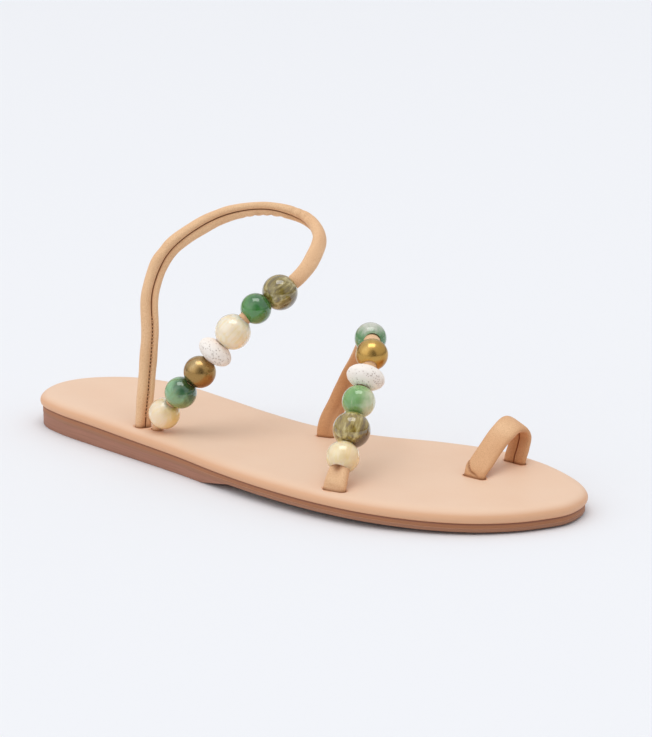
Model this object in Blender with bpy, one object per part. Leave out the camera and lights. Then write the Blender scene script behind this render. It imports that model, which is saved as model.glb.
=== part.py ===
"""Beaded leather sandal, right shoe: plank sole, heel lift, padded footbed, three straps and beads.

The toe points along +X, the inner (big toe) side is +Y and the floor is z = 0.
Tables give sizes in millimetres, with x measured from the back of the heel; meshes are in metres.
"""
import math
from collections import namedtuple

import bmesh
import bpy
import numpy as np
from mathutils import Vector

MM = 0.001
LENGTH = 250.0
GAP = 0.3
BOX_MIDDLE_Y = -1.68

# The sole, one row for each cross section: distance from the heel, reach of the footbed to the inner
# and outer side, height of the joint under the footbed, and height of the outsole's underside.
Section = namedtuple("Section", "x inner outer joint under")
SOLE = (
    Section(0, 0.0, 0.0, 8.2, 5.0),
    Section(8, 17.8, -18.7, 8.2, 5.0),
    Section(22, 27.2, -24.6, 8.2, 5.0),
    Section(45, 30.8, -28.8, 8.0, 4.8),
    Section(70, 27.5, -32.8, 7.4, 4.2),
    Section(95, 23.2, -36.9, 6.9, 3.7),
    Section(120, 22.2, -42.0, 6.3, 3.1),
    Section(145, 27.0, -45.8, 6.0, 2.4),
    Section(170, 36.3, -47.3, 5.8, 0.9),
    Section(190, 41.3, -45.3, 5.4, 0.0),
    Section(210, 40.8, -38.8, 4.7, 0.0),
    Section(228, 35.2, -28.4, 4.2, 0.0),
    Section(240, 27.9, -16.3, 4.0, 0.0),
    Section(247, 19.4, -4.6, 4.0, 0.3),
    Section(250, 5.5, 5.5, 4.1, 0.6),
)
STATIONS = 44

# Footbed edge from its underside to its crown: inset from the outline and height over the joint.
FOOTBED_THICKNESS = 5.0
FOOTBED_EDGE = ((1.4, 0.0), (0.2, 0.9), (0.0, 1.9), (0.4, 3.1), (1.6, 4.3), (3.8, 4.9), (9.0, 5.0))

# Outsole side from its top edge down: inset from the outline and depth below the top edge.
OUTSOLE_SIDE = 2.9
OUTSOLE_EDGE = ((1.2, 0.0), (1.0, 0.3), (1.0, 1.3), (1.35, 1.45), (1.0, 1.6), (1.0, 2.6), (1.4, 2.9))
TREAD_INSET = 9.0

# Heel lift: inset of its side, its rounded lower edge, and its slanted front face.
LIFT_INSET = 1.1
LIFT_EDGE = 0.5
BREAST_FLOOR_X = 108.0
BREAST_TOP_X = 119.0
BREAST_HEIGHT = 3.0

# Slots in the footbed: place of the middle, turn in degrees, length and width.
SLOT_DEPTH = 3.2
SLOT_SIDES = 16
Slot = namedtuple("Slot", "x y turn length width")
SLOTS = {
    "ankle": Slot(71.3, -24.9, 6.0, 13.8, 7.6),
    "instep_inner": Slot(130.4, 11.8, 16.0, 8.4, 4.2),
    "instep_outer": Slot(175.0, -40.0, 10.0, 9.9, 4.2),
    "ring_outer": Slot(204.4, 7.4, 0.0, 10.3, 4.2),
    "ring_inner": Slot(205.4, 32.0, 0.0, 10.2, 3.8),
}

# Strap routes, one row for each bend: place of the middle, width, thickness, and the way that the
# outer face looks. The ends stand upright in their slots.
Bend = namedtuple("Bend", "x y z width thick out_x out_y out_z")
STRAP_SIDES = 12
FLATNESS_POWER = 1.4
ANKLE_STEP = 3.5
ANKLE_ROUTE = (
    Bend(68.5, -25.2, 9.7, 5.6, 4.4, -0.8, 0.6, 0.0),
    Bend(68.5, -25.2, 13.5, 5.8, 4.6, -0.8, 0.6, 0.0),
    Bend(67.2, -21.9, 30.3, 6.7, 5.0, -0.8, 0.6, 0.0),
    Bend(66.3, -17.9, 47.5, 6.8, 5.0, -0.8, 0.6, 0.0),
    Bend(63.8, -13.8, 63.7, 6.8, 5.0, -0.8, 0.6, 0.1),
    Bend(65.3, -5.4, 77.0, 6.8, 5.0, -0.8, 0.5, 0.3),
    Bend(70.6, 7.2, 86.0, 6.8, 5.0, -0.8, 0.4, 0.1),
    Bend(76.9, 21.7, 90.4, 6.8, 5.0, -0.8, 0.5, 0.1),
    Bend(85.8, 35.0, 90.4, 6.8, 5.0, -0.5, 0.8, 0.2),
    Bend(96.4, 41.4, 87.2, 6.6, 5.0, 0.2, 0.9, 0.3),
    Bend(107.1, 36.8, 82.8, 6.6, 5.0, 0.9, 0.3, 0.3),
    Bend(113.1, 26.2, 77.4, 6.6, 5.0, 0.8, -0.4, 0.4),
    Bend(114.6, 15.8, 72.2, 6.4, 5.0, 0.7, -0.5, 0.5),
    Bend(111.8, 6.0, 65.9, 4.8, 4.6, 0.7, -0.6, 0.4),
    Bend(107.7, -3.1, 61.2, 4.2, 4.2, 0.7, -0.6, 0.3),
    Bend(102.5, -11.1, 52.4, 4.2, 4.2, 0.7, -0.6, 0.2),
    Bend(97.6, -15.8, 44.7, 4.2, 4.2, 0.7, -0.6, 0.1),
    Bend(93.6, -20.5, 36.8, 4.2, 4.2, 0.7, -0.6, 0.0),
    Bend(87.1, -24.2, 28.5, 4.2, 4.2, 0.7, -0.6, -0.1),
    Bend(80.8, -26.7, 19.6, 4.2, 4.2, 0.8, -0.5, -0.3),
    Bend(76.3, -25.2, 13.4, 4.2, 4.2, 0.9, -0.3, -0.3),
    Bend(75.0, -24.2, 9.7, 4.2, 4.2, 1.0, 0.0, 0.0),
)
FOREFOOT_STEP = 3.0
FOREFOOT_ROUTE = (
    Bend(130.4, 11.8, 9.0, 7.4, 3.2, -0.3, 0.95, 0.0),
    Bend(130.4, 11.9, 12.6, 7.6, 3.2, -0.3, 0.95, 0.0),
    Bend(131.3, 16.4, 24.6, 9.2, 3.2, -0.3, 0.95, 0.1),
    Bend(133.2, 19.1, 32.6, 10.2, 3.2, -0.4, 0.9, 0.2),
    Bend(136.6, 19.8, 39.8, 9.6, 3.2, -0.5, 0.7, 0.4),
    Bend(141.6, 18.2, 46.7, 7.6, 3.8, -0.4, 0.4, 0.8),
    Bend(148.0, 13.6, 52.6, 5.2, 4.4, -0.3, 0.4, 0.8),
    Bend(155.6, 6.9, 55.2, 4.6, 4.2, 0.0, 0.3, 0.9),
    Bend(163.6, -2.6, 51.8, 4.2, 4.2, 0.2, 0.0, 0.9),
    Bend(165.5, -9.1, 44.7, 4.2, 4.2, 0.4, -0.3, 0.7),
    Bend(166.8, -14.9, 37.0, 4.2, 4.2, 0.4, -0.4, 0.7),
    Bend(170.1, -23.1, 28.8, 4.2, 4.2, 0.4, -0.5, 0.7),
    Bend(172.5, -31.6, 20.9, 4.6, 4.2, 0.3, -0.6, 0.7),
    Bend(174.0, -35.8, 16.5, 5.0, 4.0, 0.2, -0.7, 0.6),
    Bend(174.8, -38.7, 13.2, 7.8, 3.4, 0.2, -0.8, 0.4),
    Bend(175.0, -39.9, 10.8, 8.8, 3.2, 0.17, -1.0, 0.0),
    Bend(175.0, -40.0, 8.0, 9.0, 3.2, 0.17, -1.0, 0.0),
)
RING_STEP = 2.0
RING_ROUTE = (
    Bend(204.4, 7.2, 7.1, 9.3, 2.8, 0.0, -1.0, 0.0),
    Bend(204.4, 7.6, 10.9, 9.3, 2.8, 0.1, -0.9, 0.3),
    Bend(204.8, 11.4, 14.3, 9.3, 2.8, 0.2, -0.7, 0.7),
    Bend(205.0, 17.2, 18.6, 9.3, 2.8, 0.2, -0.7, 0.7),
    Bend(205.2, 24.2, 22.9, 9.3, 2.8, 0.3, -0.5, 0.8),
    Bend(205.3, 30.3, 24.7, 9.3, 2.8, 0.4, 0.0, 0.9),
    Bend(205.4, 34.4, 22.9, 9.3, 2.8, 0.3, 0.7, 0.7),
    Bend(205.5, 35.4, 19.4, 9.3, 2.8, 0.0, 1.0, 0.1),
    Bend(205.5, 34.2, 15.0, 9.3, 2.8, 0.0, 1.0, -0.2),
    Bend(205.4, 32.2, 10.6, 9.3, 2.8, 0.0, 1.0, -0.1),
    Bend(205.4, 32.0, 7.1, 9.3, 2.8, 0.0, 1.0, 0.0),
)

# Beads in the order they are strung: kind, diameter, length of the whole ball along the strap, bore,
# and the free strap before the bead. The first one sits at a given distance along its strap.
Bead = namedtuple("Bead", "kind diameter length bore slack")
ANKLE_FIRST_BEAD = 182.0
ANKLE_BEADS = (
    Bead("olive_glass", 14.0, 13.8, 6.8, 0.0),
    Bead("jade", 12.1, 11.9, 6.2, 0.0),
    Bead("cream_glass", 14.0, 13.8, 6.4, 1.0),
    Bead("lava_stone", 14.2, 8.6, 6.0, 0.0),
    Bead("gold", 12.6, 12.4, 6.0, 0.1),
    Bead("jade", 12.6, 12.4, 6.0, 0.0),
    Bead("cream_glass", 12.4, 12.2, 6.2, 0.3),
)
FOREFOOT_FIRST_BEAD = 62.0
FOREFOOT_BEADS = (
    Bead("jade", 12.2, 12.0, 6.4, 0.0),
    Bead("gold", 12.3, 12.1, 6.0, 1.6),
    Bead("lava_stone", 14.6, 8.8, 5.8, 0.2),
    Bead("jade", 12.6, 12.4, 5.4, 0.0),
    Bead("olive_glass", 14.2, 13.8, 5.6, 0.0),
    Bead("cream_glass", 12.6, 12.2, 6.6, 0.0),
)
BEAD_SEGMENTS = 14
BEAD_ARC_STEPS = 8
BEAD_SEAT = 0.4
THREAD_STEP = 0.2

# Finishes: colour, roughness and metallic value.
FINISHES = {
    "footbed_leather": ((0.80, 0.57, 0.43), 0.55, 0.0),
    "strap_leather": ((0.66, 0.42, 0.22), 0.60, 0.0),
    "outsole_rubber": ((0.30, 0.14, 0.09), 0.60, 0.0),
    "lift_rubber": ((0.26, 0.14, 0.09), 0.65, 0.0),
    "olive_glass": ((0.24, 0.20, 0.07), 0.12, 0.0),
    "jade": ((0.10, 0.36, 0.19), 0.10, 0.0),
    "cream_glass": ((0.82, 0.69, 0.42), 0.15, 0.0),
    "lava_stone": ((0.86, 0.82, 0.76), 0.85, 0.0),
    "gold": ((0.48, 0.29, 0.08), 0.22, 1.0),
}


def hermite(knots, values, at):
    """Smooth curve through the values at the knots, read at the given places."""
    values = np.asarray(values, dtype=float)
    slopes = np.gradient(values, knots, axis=0)
    k = np.clip(np.searchsorted(knots, at, side="right") - 1, 0, len(knots) - 2)
    width = (knots[k + 1] - knots[k]).reshape(-1, *[1] * (values.ndim - 1))
    s = ((at - knots[k]) / (knots[k + 1] - knots[k])).reshape(width.shape)
    start = (2 * s**3 - 3 * s**2 + 1) * values[k] + (s**3 - 2 * s**2 + s) * width * slopes[k]
    end = (3 * s**2 - 2 * s**3) * values[k + 1] + (s**3 - s**2) * width * slopes[k + 1]
    return start + end


def swing(x):
    """Angle from heel to toe, so that both ends of the sole come out round."""
    return np.arccos(np.clip(1 - 2 * np.asarray(x, dtype=float) / LENGTH, -1, 1))


def sole_value(column, x):
    """A column of the sole's table at any distance from the heel."""
    knots = swing([section.x for section in SOLE])
    return hermite(knots, [getattr(section, column) for section in SOLE], swing(x))


def sole_loop(inset):
    """Closed outline of the sole, heel, inner side, toe, outer side, drawn in by an inset."""
    x = LENGTH / 2 * (1 - np.cos(np.linspace(0, math.pi, STATIONS + 1)))
    inner = np.column_stack([x, sole_value("inner", x)])
    outer = np.column_stack([x, sole_value("outer", x)])
    loop = np.vstack([inner, outer[-2:0:-1]])
    along = np.roll(loop, -1, axis=0) - np.roll(loop, 1, axis=0)
    inward = np.column_stack([along[:, 1], -along[:, 0]])
    return loop + inset * inward / np.linalg.norm(inward, axis=1)[:, None]


def row_point(x, y, z):
    """A place of the tables as a point of the model."""
    return Vector(((x - LENGTH / 2) * MM, (y - BOX_MIDDLE_Y) * MM, z * MM))


def add_ring(bm, loop, heights):
    """Vertices of one closed ring of the sole."""
    return [bm.verts.new(row_point(x, y, z)) for (x, y), z in zip(loop, heights)]


def join_rings(bm, rings):
    """Quads between each ring and the next."""
    for low, high in zip(rings, rings[1:]):
        for i in range(len(low)):
            j = (i + 1) % len(low)
            bm.faces.new((low[i], low[j], high[j], high[i]))


def ladder_cap(bm, ring):
    """Close a sole ring with rungs from its inner side to its outer side."""
    count = len(ring)
    for i in range(STATIONS):
        corners = [ring[i], ring[i + 1], ring[(count - i - 1) % count], ring[(count - i) % count]]
        bm.faces.new(list(dict.fromkeys(corners)))


def finish(name):
    """Material of a finish, made once."""
    material = bpy.data.materials.get(name)
    if material:
        return material
    colour, roughness, metallic = FINISHES[name]
    material = bpy.data.materials.new(name)
    material.use_nodes = True
    shader = material.node_tree.nodes["Principled BSDF"]
    shader.inputs["Base Color"].default_value = (*colour, 1.0)
    shader.inputs["Roughness"].default_value = roughness
    shader.inputs["Metallic"].default_value = metallic
    material.diffuse_color = (*colour, 1.0)
    return material


def add_object(bm, name, finish_name, sharp_degrees=50):
    """Turn a bmesh into a named object with outward faces."""
    bmesh.ops.recalc_face_normals(bm, faces=bm.faces)
    mesh = bpy.data.meshes.new(name)
    bm.to_mesh(mesh)
    bm.free()
    mesh.shade_smooth()
    mesh.set_sharp_from_angle(angle=math.radians(sharp_degrees))
    mesh.materials.append(finish(finish_name))
    obj = bpy.data.objects.new(name, mesh)
    bpy.context.scene.collection.objects.link(obj)
    return obj


def build_outsole():
    """Plank with a grooved side and a flat tread that stands on the floor under the ball."""
    bm = bmesh.new()
    rings = []
    for inset, depth in OUTSOLE_EDGE:
        loop = sole_loop(inset)
        rings.append(add_ring(bm, loop, sole_value("joint", loop[:, 0]) - GAP - depth))
    tread = sole_loop(TREAD_INSET)
    rings.append(add_ring(bm, tread, np.maximum(sole_value("under", tread[:, 0]), 0.0)))
    join_rings(bm, rings)
    ladder_cap(bm, rings[0])
    ladder_cap(bm, rings[-1])
    return add_object(bm, "outsole", "outsole_rubber", sharp_degrees=35)


def build_heel_lift():
    """Layer under the heel, cut off at the front by a slanted face."""
    bm = bmesh.new()
    side = sole_loop(LIFT_INSET)
    foot = sole_loop(LIFT_INSET + LIFT_EDGE)
    top = sole_value("joint", side[:, 0]) - OUTSOLE_SIDE - 2 * GAP
    rings = [
        add_ring(bm, side, top),
        add_ring(bm, side, np.full(len(side), LIFT_EDGE)),
        add_ring(bm, foot, np.zeros(len(foot))),
    ]
    join_rings(bm, rings)
    ladder_cap(bm, rings[0])
    ladder_cap(bm, rings[-1])
    bmesh.ops.recalc_face_normals(bm, faces=bm.faces)
    bmesh.ops.bisect_plane(
        bm,
        geom=bm.verts[:] + bm.edges[:] + bm.faces[:],
        plane_co=row_point(BREAST_FLOOR_X, 0, 0),
        plane_no=Vector((BREAST_HEIGHT, 0, BREAST_FLOOR_X - BREAST_TOP_X)),
        clear_outer=True,
    )
    rim = [edge for edge in bm.edges if edge.is_boundary]
    bmesh.ops.edgeloop_fill(bm, edges=rim)
    return add_object(bm, "heel_lift", "lift_rubber", sharp_degrees=35)


def build_slot_cutter(name):
    """Upright rounded bar that sinks one strap slot into the footbed."""
    slot = SLOTS[name]
    floor_height = sole_value("joint", np.array([slot.x]))[0] + FOOTBED_THICKNESS - SLOT_DEPTH
    straight = (slot.length - slot.width) / 2
    turn = math.radians(slot.turn)
    bm = bmesh.new()
    floor = []
    for k in range(SLOT_SIDES):
        angle = 2 * math.pi * (k + 0.5) / SLOT_SIDES
        along = math.copysign(straight, math.cos(angle)) + slot.width / 2 * math.cos(angle)
        across = slot.width / 2 * math.sin(angle)
        x = slot.x + along * math.cos(turn) - across * math.sin(turn)
        y = slot.y + along * math.sin(turn) + across * math.cos(turn)
        floor.append(bm.verts.new(row_point(x, y, floor_height)))
    face = bm.faces.new(floor)
    raised = bmesh.ops.extrude_face_region(bm, geom=[face])
    lifted = [item for item in raised["geom"] if isinstance(item, bmesh.types.BMVert)]
    bmesh.ops.translate(bm, vec=(0, 0, 2 * SLOT_DEPTH * MM), verts=lifted)
    cutter = add_object(bm, "slot_cutter_" + name, "footbed_leather")
    cutter.hide_render = True
    cutter.display_type = "WIRE"
    return cutter


def build_footbed():
    """Padded insole with a rolled edge and a slot for each strap end."""
    bm = bmesh.new()
    rings = []
    for inset, height in FOOTBED_EDGE:
        loop = sole_loop(inset)
        rings.append(add_ring(bm, loop, sole_value("joint", loop[:, 0]) + height))
    join_rings(bm, rings)
    ladder_cap(bm, rings[0])
    ladder_cap(bm, rings[-1])
    footbed = add_object(bm, "footbed", "footbed_leather")
    for name in SLOTS:
        cut = footbed.modifiers.new("slot_" + name, "BOOLEAN")
        cut.operation = "DIFFERENCE"
        cut.object = build_slot_cutter(name)
    return footbed


def read_route(route, step):
    """Bends of a smooth strap route, spaced evenly along it."""
    rows = np.array(route, dtype=float)
    runs = np.linalg.norm(np.diff(rows[:, :3], axis=0), axis=1)
    knots = np.concatenate([[0.0], np.cumsum(runs)])
    count = int(round(knots[-1] / step)) + 1
    return [Bend(*row) for row in hermite(knots, rows, np.linspace(0, knots[-1], count))]


def build_strap(name, route, step):
    """Folded leather strap: a rounded section carried along its route, from slot to slot."""
    bends = read_route(route, step)
    headings = np.gradient(np.array(bends)[:, :3], axis=0)
    headings[0] = (0, 0, 1)
    headings[-1] = (0, 0, -1)
    bm = bmesh.new()
    rings = []
    for bend, heading in zip(bends, headings):
        heading = Vector(heading).normalized()
        out = Vector((bend.out_x, bend.out_y, bend.out_z))
        out = (out - out.dot(heading) * heading).normalized()
        across = heading.cross(out)
        flatness = min(1.0, max(0.0, bend.width / bend.thick - 1))
        power = 2 / (2 + FLATNESS_POWER * flatness)
        ring = []
        for k in range(STRAP_SIDES):
            angle = 2 * math.pi * (k + 0.5) / STRAP_SIDES
            wide = math.copysign(abs(math.cos(angle)) ** power, math.cos(angle)) * bend.width / 2
            high = math.copysign(abs(math.sin(angle)) ** power, math.sin(angle)) * bend.thick / 2
            place = Vector((bend.x, bend.y, bend.z)) + across * wide + out * high
            ring.append(bm.verts.new(row_point(*place)))
        rings.append(ring)
    join_rings(bm, rings)
    bm.faces.new(rings[0])
    bm.faces.new(rings[-1])
    return add_object(bm, name, "strap_leather")


def build_bead(name, bead, centre, axis):
    """One turned bead with its bore, standing on its axis."""
    bm = bmesh.new()
    rim = math.asin(bead.bore / bead.diameter)
    profile = []
    for k in range(BEAD_ARC_STEPS + 1):
        angle = rim + (math.pi - 2 * rim) * k / BEAD_ARC_STEPS
        radius = bead.diameter / 2 * math.sin(angle)
        height = bead.length / 2 * math.cos(angle)
        profile.append(bm.verts.new((radius * MM, 0, height * MM)))
    edges = [bm.edges.new((a, b)) for a, b in zip(profile, profile[1:] + profile[:1])]
    bmesh.ops.spin(
        bm,
        geom=profile + edges,
        cent=(0, 0, 0),
        axis=(0, 0, 1),
        angle=2 * math.pi,
        steps=BEAD_SEGMENTS,
        use_merge=True,
    )
    obj = add_object(bm, name, bead.kind)
    obj.location = centre
    obj.rotation_mode = "QUATERNION"
    obj.rotation_quaternion = Vector((0, 0, 1)).rotation_difference(axis)
    return obj


def bead_seat(places, index, length):
    """Middle and direction of the stretch of strap that one bead covers."""
    reach = int(BEAD_SEAT * length / THREAD_STEP)
    middle = places[index - reach:index + reach + 1].mean(axis=0)
    return middle, places[index + reach] - places[index - reach]


def bead_half(bead):
    """Half of a bead's length between the rims of its bore."""
    return bead.length / 2 * math.sqrt(1 - (bead.bore / bead.diameter) ** 2)


def string_beads(prefix, route, first, beads):
    """Thread beads onto a strap, rim against rim, from a given distance along it."""
    places = np.array(read_route(route, THREAD_STEP))[:, :3]
    index = int(first / THREAD_STEP)
    last_centre = None
    last_half = 0.0
    for number, bead in enumerate(beads, start=1):
        centre, chord = bead_seat(places, index, bead.length)
        pitch = last_half + bead_half(bead) + GAP + bead.slack
        while last_centre is not None and np.linalg.norm(centre - last_centre) < pitch:
            index += 1
            centre, chord = bead_seat(places, index, bead.length)
        name = f"{prefix}_{number}_{bead.kind}"
        build_bead(name, bead, row_point(*centre), Vector(chord).normalized())
        last_centre = centre
        last_half = bead_half(bead)


for old in list(bpy.data.objects):
    bpy.data.objects.remove(old)
build_outsole()
build_heel_lift()
build_footbed()
build_strap("ankle_strap", ANKLE_ROUTE, ANKLE_STEP)
build_strap("forefoot_strap", FOREFOOT_ROUTE, FOREFOOT_STEP)
build_strap("toe_ring", RING_ROUTE, RING_STEP)
string_beads("ankle_bead", ANKLE_ROUTE, ANKLE_FIRST_BEAD, ANKLE_BEADS)
string_beads("forefoot_bead", FOREFOOT_ROUTE, FOREFOOT_FIRST_BEAD, FOREFOOT_BEADS)
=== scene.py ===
"""Looks of a beaded leather sandal for the right foot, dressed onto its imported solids.

Tables give millimetres, with x from the back of the heel, y to the inner side and z up from the floor.
Meshes are metres in the part's own frame. Colours are given as display values from 0 to 255.
"""
import math
from collections import namedtuple

import bmesh
import bpy
import numpy as np
from mathutils import Matrix, Vector, noise


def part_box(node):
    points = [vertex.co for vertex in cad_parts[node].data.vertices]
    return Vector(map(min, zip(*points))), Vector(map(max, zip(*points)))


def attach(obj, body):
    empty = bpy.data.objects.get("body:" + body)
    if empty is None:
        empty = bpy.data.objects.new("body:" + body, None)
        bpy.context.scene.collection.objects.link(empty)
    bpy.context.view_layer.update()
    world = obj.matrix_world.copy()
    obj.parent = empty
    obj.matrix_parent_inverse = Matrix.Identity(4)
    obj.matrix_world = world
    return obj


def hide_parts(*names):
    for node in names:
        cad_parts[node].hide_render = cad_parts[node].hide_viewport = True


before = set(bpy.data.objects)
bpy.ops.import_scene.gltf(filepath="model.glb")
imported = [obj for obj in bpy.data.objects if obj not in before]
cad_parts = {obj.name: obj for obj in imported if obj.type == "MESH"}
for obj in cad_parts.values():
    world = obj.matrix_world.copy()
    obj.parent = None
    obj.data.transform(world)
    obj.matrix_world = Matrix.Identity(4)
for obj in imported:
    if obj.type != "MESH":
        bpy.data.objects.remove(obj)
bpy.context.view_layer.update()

# Outsole: a thin plank of brown rubber board, cut to the foot's outline and ground flat at the side.
# It is laid up from two sheets, so a fine groove runs round its side at half its height, and it carries
# the padded footbed, which is glued on top.
MM = 0.001
LENGTH = 250.0
MIDDLE_Y = -1.68
SIDE_STATIONS = 176
WELD = 0.002
Section = namedtuple("Section", "x inner outer joint under")
SOLE = (
    Section(0, 0.0, 0.0, 8.2, 5.0),
    Section(8, 17.8, -18.7, 8.2, 5.0),
    Section(22, 27.2, -24.6, 8.2, 5.0),
    Section(45, 30.8, -28.8, 8.0, 4.8),
    Section(70, 27.5, -32.8, 7.4, 4.2),
    Section(95, 23.2, -36.9, 6.9, 3.7),
    Section(120, 22.2, -42.0, 6.3, 3.1),
    Section(145, 27.0, -45.8, 6.0, 2.4),
    Section(170, 36.3, -47.3, 5.8, 0.9),
    Section(190, 41.3, -45.3, 5.4, 0.0),
    Section(210, 40.8, -38.8, 4.7, 0.0),
    Section(228, 35.2, -28.4, 4.2, 0.0),
    Section(240, 27.9, -16.3, 4.0, 0.0),
    Section(247, 19.4, -4.6, 4.0, 0.3),
    Section(250, 5.5, 5.5, 4.1, 0.6),
)
JOINT_GAP = 0.3
OUTSOLE_SIDE = 2.9
Edge = namedtuple("Edge", "inset height")
OUTSOLE_EDGE = (
    Edge(1.5, 0.5),
    Edge(1.12, 0.44),
    Edge(1.0, 0.25),
    Edge(1.0, -0.6),
    Edge(1.0, -1.3),
    Edge(1.08, -1.39),
    Edge(1.2, -1.45),
    Edge(1.08, -1.51),
    Edge(1.0, -1.6),
    Edge(1.0, -2.1),
    Edge(1.0, -2.6),
    Edge(1.12, -2.8),
    Edge(1.4, -2.9),
)
TREAD_INSET = 9.0
FOOT_INSET = 14.0
GROOVE_TOP = -1.3
GROOVE_FOOT = -1.6
GROOVE_FROM = 96.0
GROOVE_FULL = 126.0
OUTSOLE_BROWN = (176, 117, 79)
OUTSOLE_GREY = (167, 118, 91)
OUTSOLE_DARK = (146, 96, 72)
GROOVE_PALE = (206, 156, 124)
# Painted shade: the underside of the outsole is painted dark to deepen the floor's shadow under the
# arch.
UNDERSIDE_PAINTED_SHADE = (58, 50, 46)
UNDER_DEPTH = 3.6
END_STATIONS = 20


def smooth_curve(knots, values, at):
    """Smooth curve through the values at the knots, read at the given places."""
    values = np.asarray(values, dtype=float)
    slopes = np.gradient(values, knots, axis=0)
    k = np.clip(np.searchsorted(knots, at, side="right") - 1, 0, len(knots) - 2)
    width = (knots[k + 1] - knots[k]).reshape(-1, *[1] * (values.ndim - 1))
    s = ((at - knots[k]) / (knots[k + 1] - knots[k])).reshape(width.shape)
    start = (2 * s**3 - 3 * s**2 + 1) * values[k] + (s**3 - 2 * s**2 + s) * width * slopes[k]
    end = (3 * s**2 - 2 * s**3) * values[k + 1] + (s**3 - s**2) * width * slopes[k + 1]
    return start + end


def swing(x):
    """Angle from heel to toe, so that both ends of the sole come out round."""
    return np.arccos(np.clip(1 - 2 * np.asarray(x, dtype=float) / LENGTH, -1, 1))


def sole_at(column, x):
    """A column of the sole's table at any distance from the heel."""
    knots = swing([section.x for section in SOLE])
    return smooth_curve(knots, [getattr(section, column) for section in SOLE], swing(x))


def outline(inset):
    """Closed outline of the sole, heel, inner side, toe, outer side, drawn in by an inset."""
    x = LENGTH / 2 * (1 - np.cos(np.linspace(0, math.pi, SIDE_STATIONS + 1)))
    inner = np.column_stack([x, sole_at("inner", x)])
    outer = np.column_stack([x, sole_at("outer", x)])
    loop = np.vstack([inner, outer[-2:0:-1]])
    along = np.roll(loop, -1, axis=0) - np.roll(loop, 1, axis=0)
    inward = np.column_stack([along[:, 1], -along[:, 0]])
    return loop + inset * inward / np.linalg.norm(inward, axis=1)[:, None]


def sandal_point(x, y, z):
    """A place of the tables as a point of the part's frame."""
    return Vector(((x - LENGTH / 2) * MM, (y - MIDDLE_Y) * MM, z * MM))


def wrap_grid(bm, rows, *value_names):
    """A sheet laid on rows of points and closed to a tube; it keeps named values for each point."""
    count = len(rows[0])
    for name in value_names:
        bm.verts.layers.float.new(name)
    layers = [bm.verts.layers.float[name] for name in value_names]
    sheet = bmesh.ops.create_grid(bm, x_segments=len(rows) - 1, y_segments=count, size=0.5)["verts"]
    for vert in sheet:
        row = rows[round((vert.co.x + 0.5) * (len(rows) - 1))]
        x, y, z, *kept = row[round((vert.co.y + 0.5) * count) % count]
        vert.co = sandal_point(x, y, z)
        for layer, value in zip(layers, kept):
            vert[layer] = value
    bmesh.ops.remove_doubles(bm, verts=sheet, dist=WELD * MM)


def sole_rows(edge, base):
    """Rows of points for an edge profile carried round the sole, over a base height for each x."""
    rows = []
    for step in edge:
        loop = outline(step.inset)
        heights = base(loop[:, 0]) + step.height
        rows.append(np.column_stack([loop, heights, np.full(len(loop), step.height)]))
    return rows


def fill_openings(bm):
    """Close each open end of a wrapped sole sheet with a grid of faces that runs from heel to toe."""
    count = 2 * SIDE_STATIONS
    rims = [edge for edge in bm.edges if edge.is_boundary]
    while rims:
        ring = [rims[0].verts[0]]
        edge = rims[0]
        while edge.other_vert(ring[-1]) is not ring[0]:
            ring.append(edge.other_vert(ring[-1]))
            edge = next(e for e in ring[-1].link_edges if e.is_boundary and e is not edge)
        heel = min(range(count), key=lambda i: ring[i].co.x)
        ring = ring[heel:] + ring[:heel]
        sides = []
        for i in range(END_STATIONS, SIDE_STATIONS - END_STATIONS):
            sides.append(bm.edges.get((ring[i], ring[i + 1])))
            sides.append(bm.edges.get((ring[count - i], ring[count - i - 1])))
        bmesh.ops.grid_fill(bm, edges=sides)
        rims = [edge for edge in bm.edges if edge.is_boundary]


def mesh_object(bm, name):
    """Turn a bmesh into an object of the scene."""
    mesh = bpy.data.meshes.new(name)
    bm.to_mesh(mesh)
    bm.free()
    made = bpy.data.objects.new(name, mesh)
    bpy.context.scene.collection.objects.link(made)
    return made


def add_piece(bm, name, material, slot, *nodes):
    """Turn a bmesh into a finished piece that rides on the sandal and stands for its solids."""
    bmesh.ops.recalc_face_normals(bm, faces=bm.faces)
    piece = mesh_object(bm, name)
    piece.data.shade_smooth()
    piece.data.materials.append(material)
    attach(piece, "root")
    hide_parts(*nodes)
    return piece


def paint(colour):
    """A display colour as the linear colour that shaders use."""
    shares = [value / 255 for value in colour]
    linear = [s / 12.92 if s <= 0.04045 else ((s + 0.055) / 1.055) ** 2.4 for s in shares]
    return (*linear, 1.0)


def set_inputs(tree, node, values):
    """Fill a node's inputs: a value that is a socket is linked, any other is set."""
    for key, value in values.items():
        if isinstance(value, bpy.types.NodeSocket):
            tree.links.new(value, node.inputs[key])
        else:
            node.inputs[key].default_value = value


def add_node(tree, kind, inputs=None, **settings):
    """A shader node with its settings and inputs."""
    made = tree.nodes.new(kind)
    for key, value in settings.items():
        setattr(made, key, value)
    set_inputs(tree, made, inputs or {})
    return made


def add_ramp(tree, factor, stops):
    """Colour ramp through (position, colour) stops."""
    ramp = add_node(tree, "ShaderNodeValToRGB", {"Fac": factor})
    points = ramp.color_ramp.elements
    while len(points) < len(stops):
        points.new(1.0)
    for point, (position, colour) in zip(points, stops):
        point.position = position
        point.color = colour
    return ramp.outputs["Color"]


def mix_colour(tree, factor, first, second, blend="MIX"):
    """Mix of two colours, each a socket or a colour."""
    inputs = {0: factor, 6: first, 7: second}
    return add_node(tree, "ShaderNodeMix", inputs, data_type="RGBA", blend_type=blend).outputs[2]


def add_math(tree, operation, first, second=0.0, clamp=False):
    """One step of arithmetic between sockets or numbers."""
    inputs = {0: first, 1: second}
    return add_node(tree, "ShaderNodeMath", inputs, operation=operation, use_clamp=clamp).outputs[0]


def new_material(name):
    """An empty node material: its tree and its shader, already wired to the output."""
    material = bpy.data.materials.new(name)
    material.use_nodes = True
    return material, material.node_tree, material.node_tree.nodes["Principled BSDF"]


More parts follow.
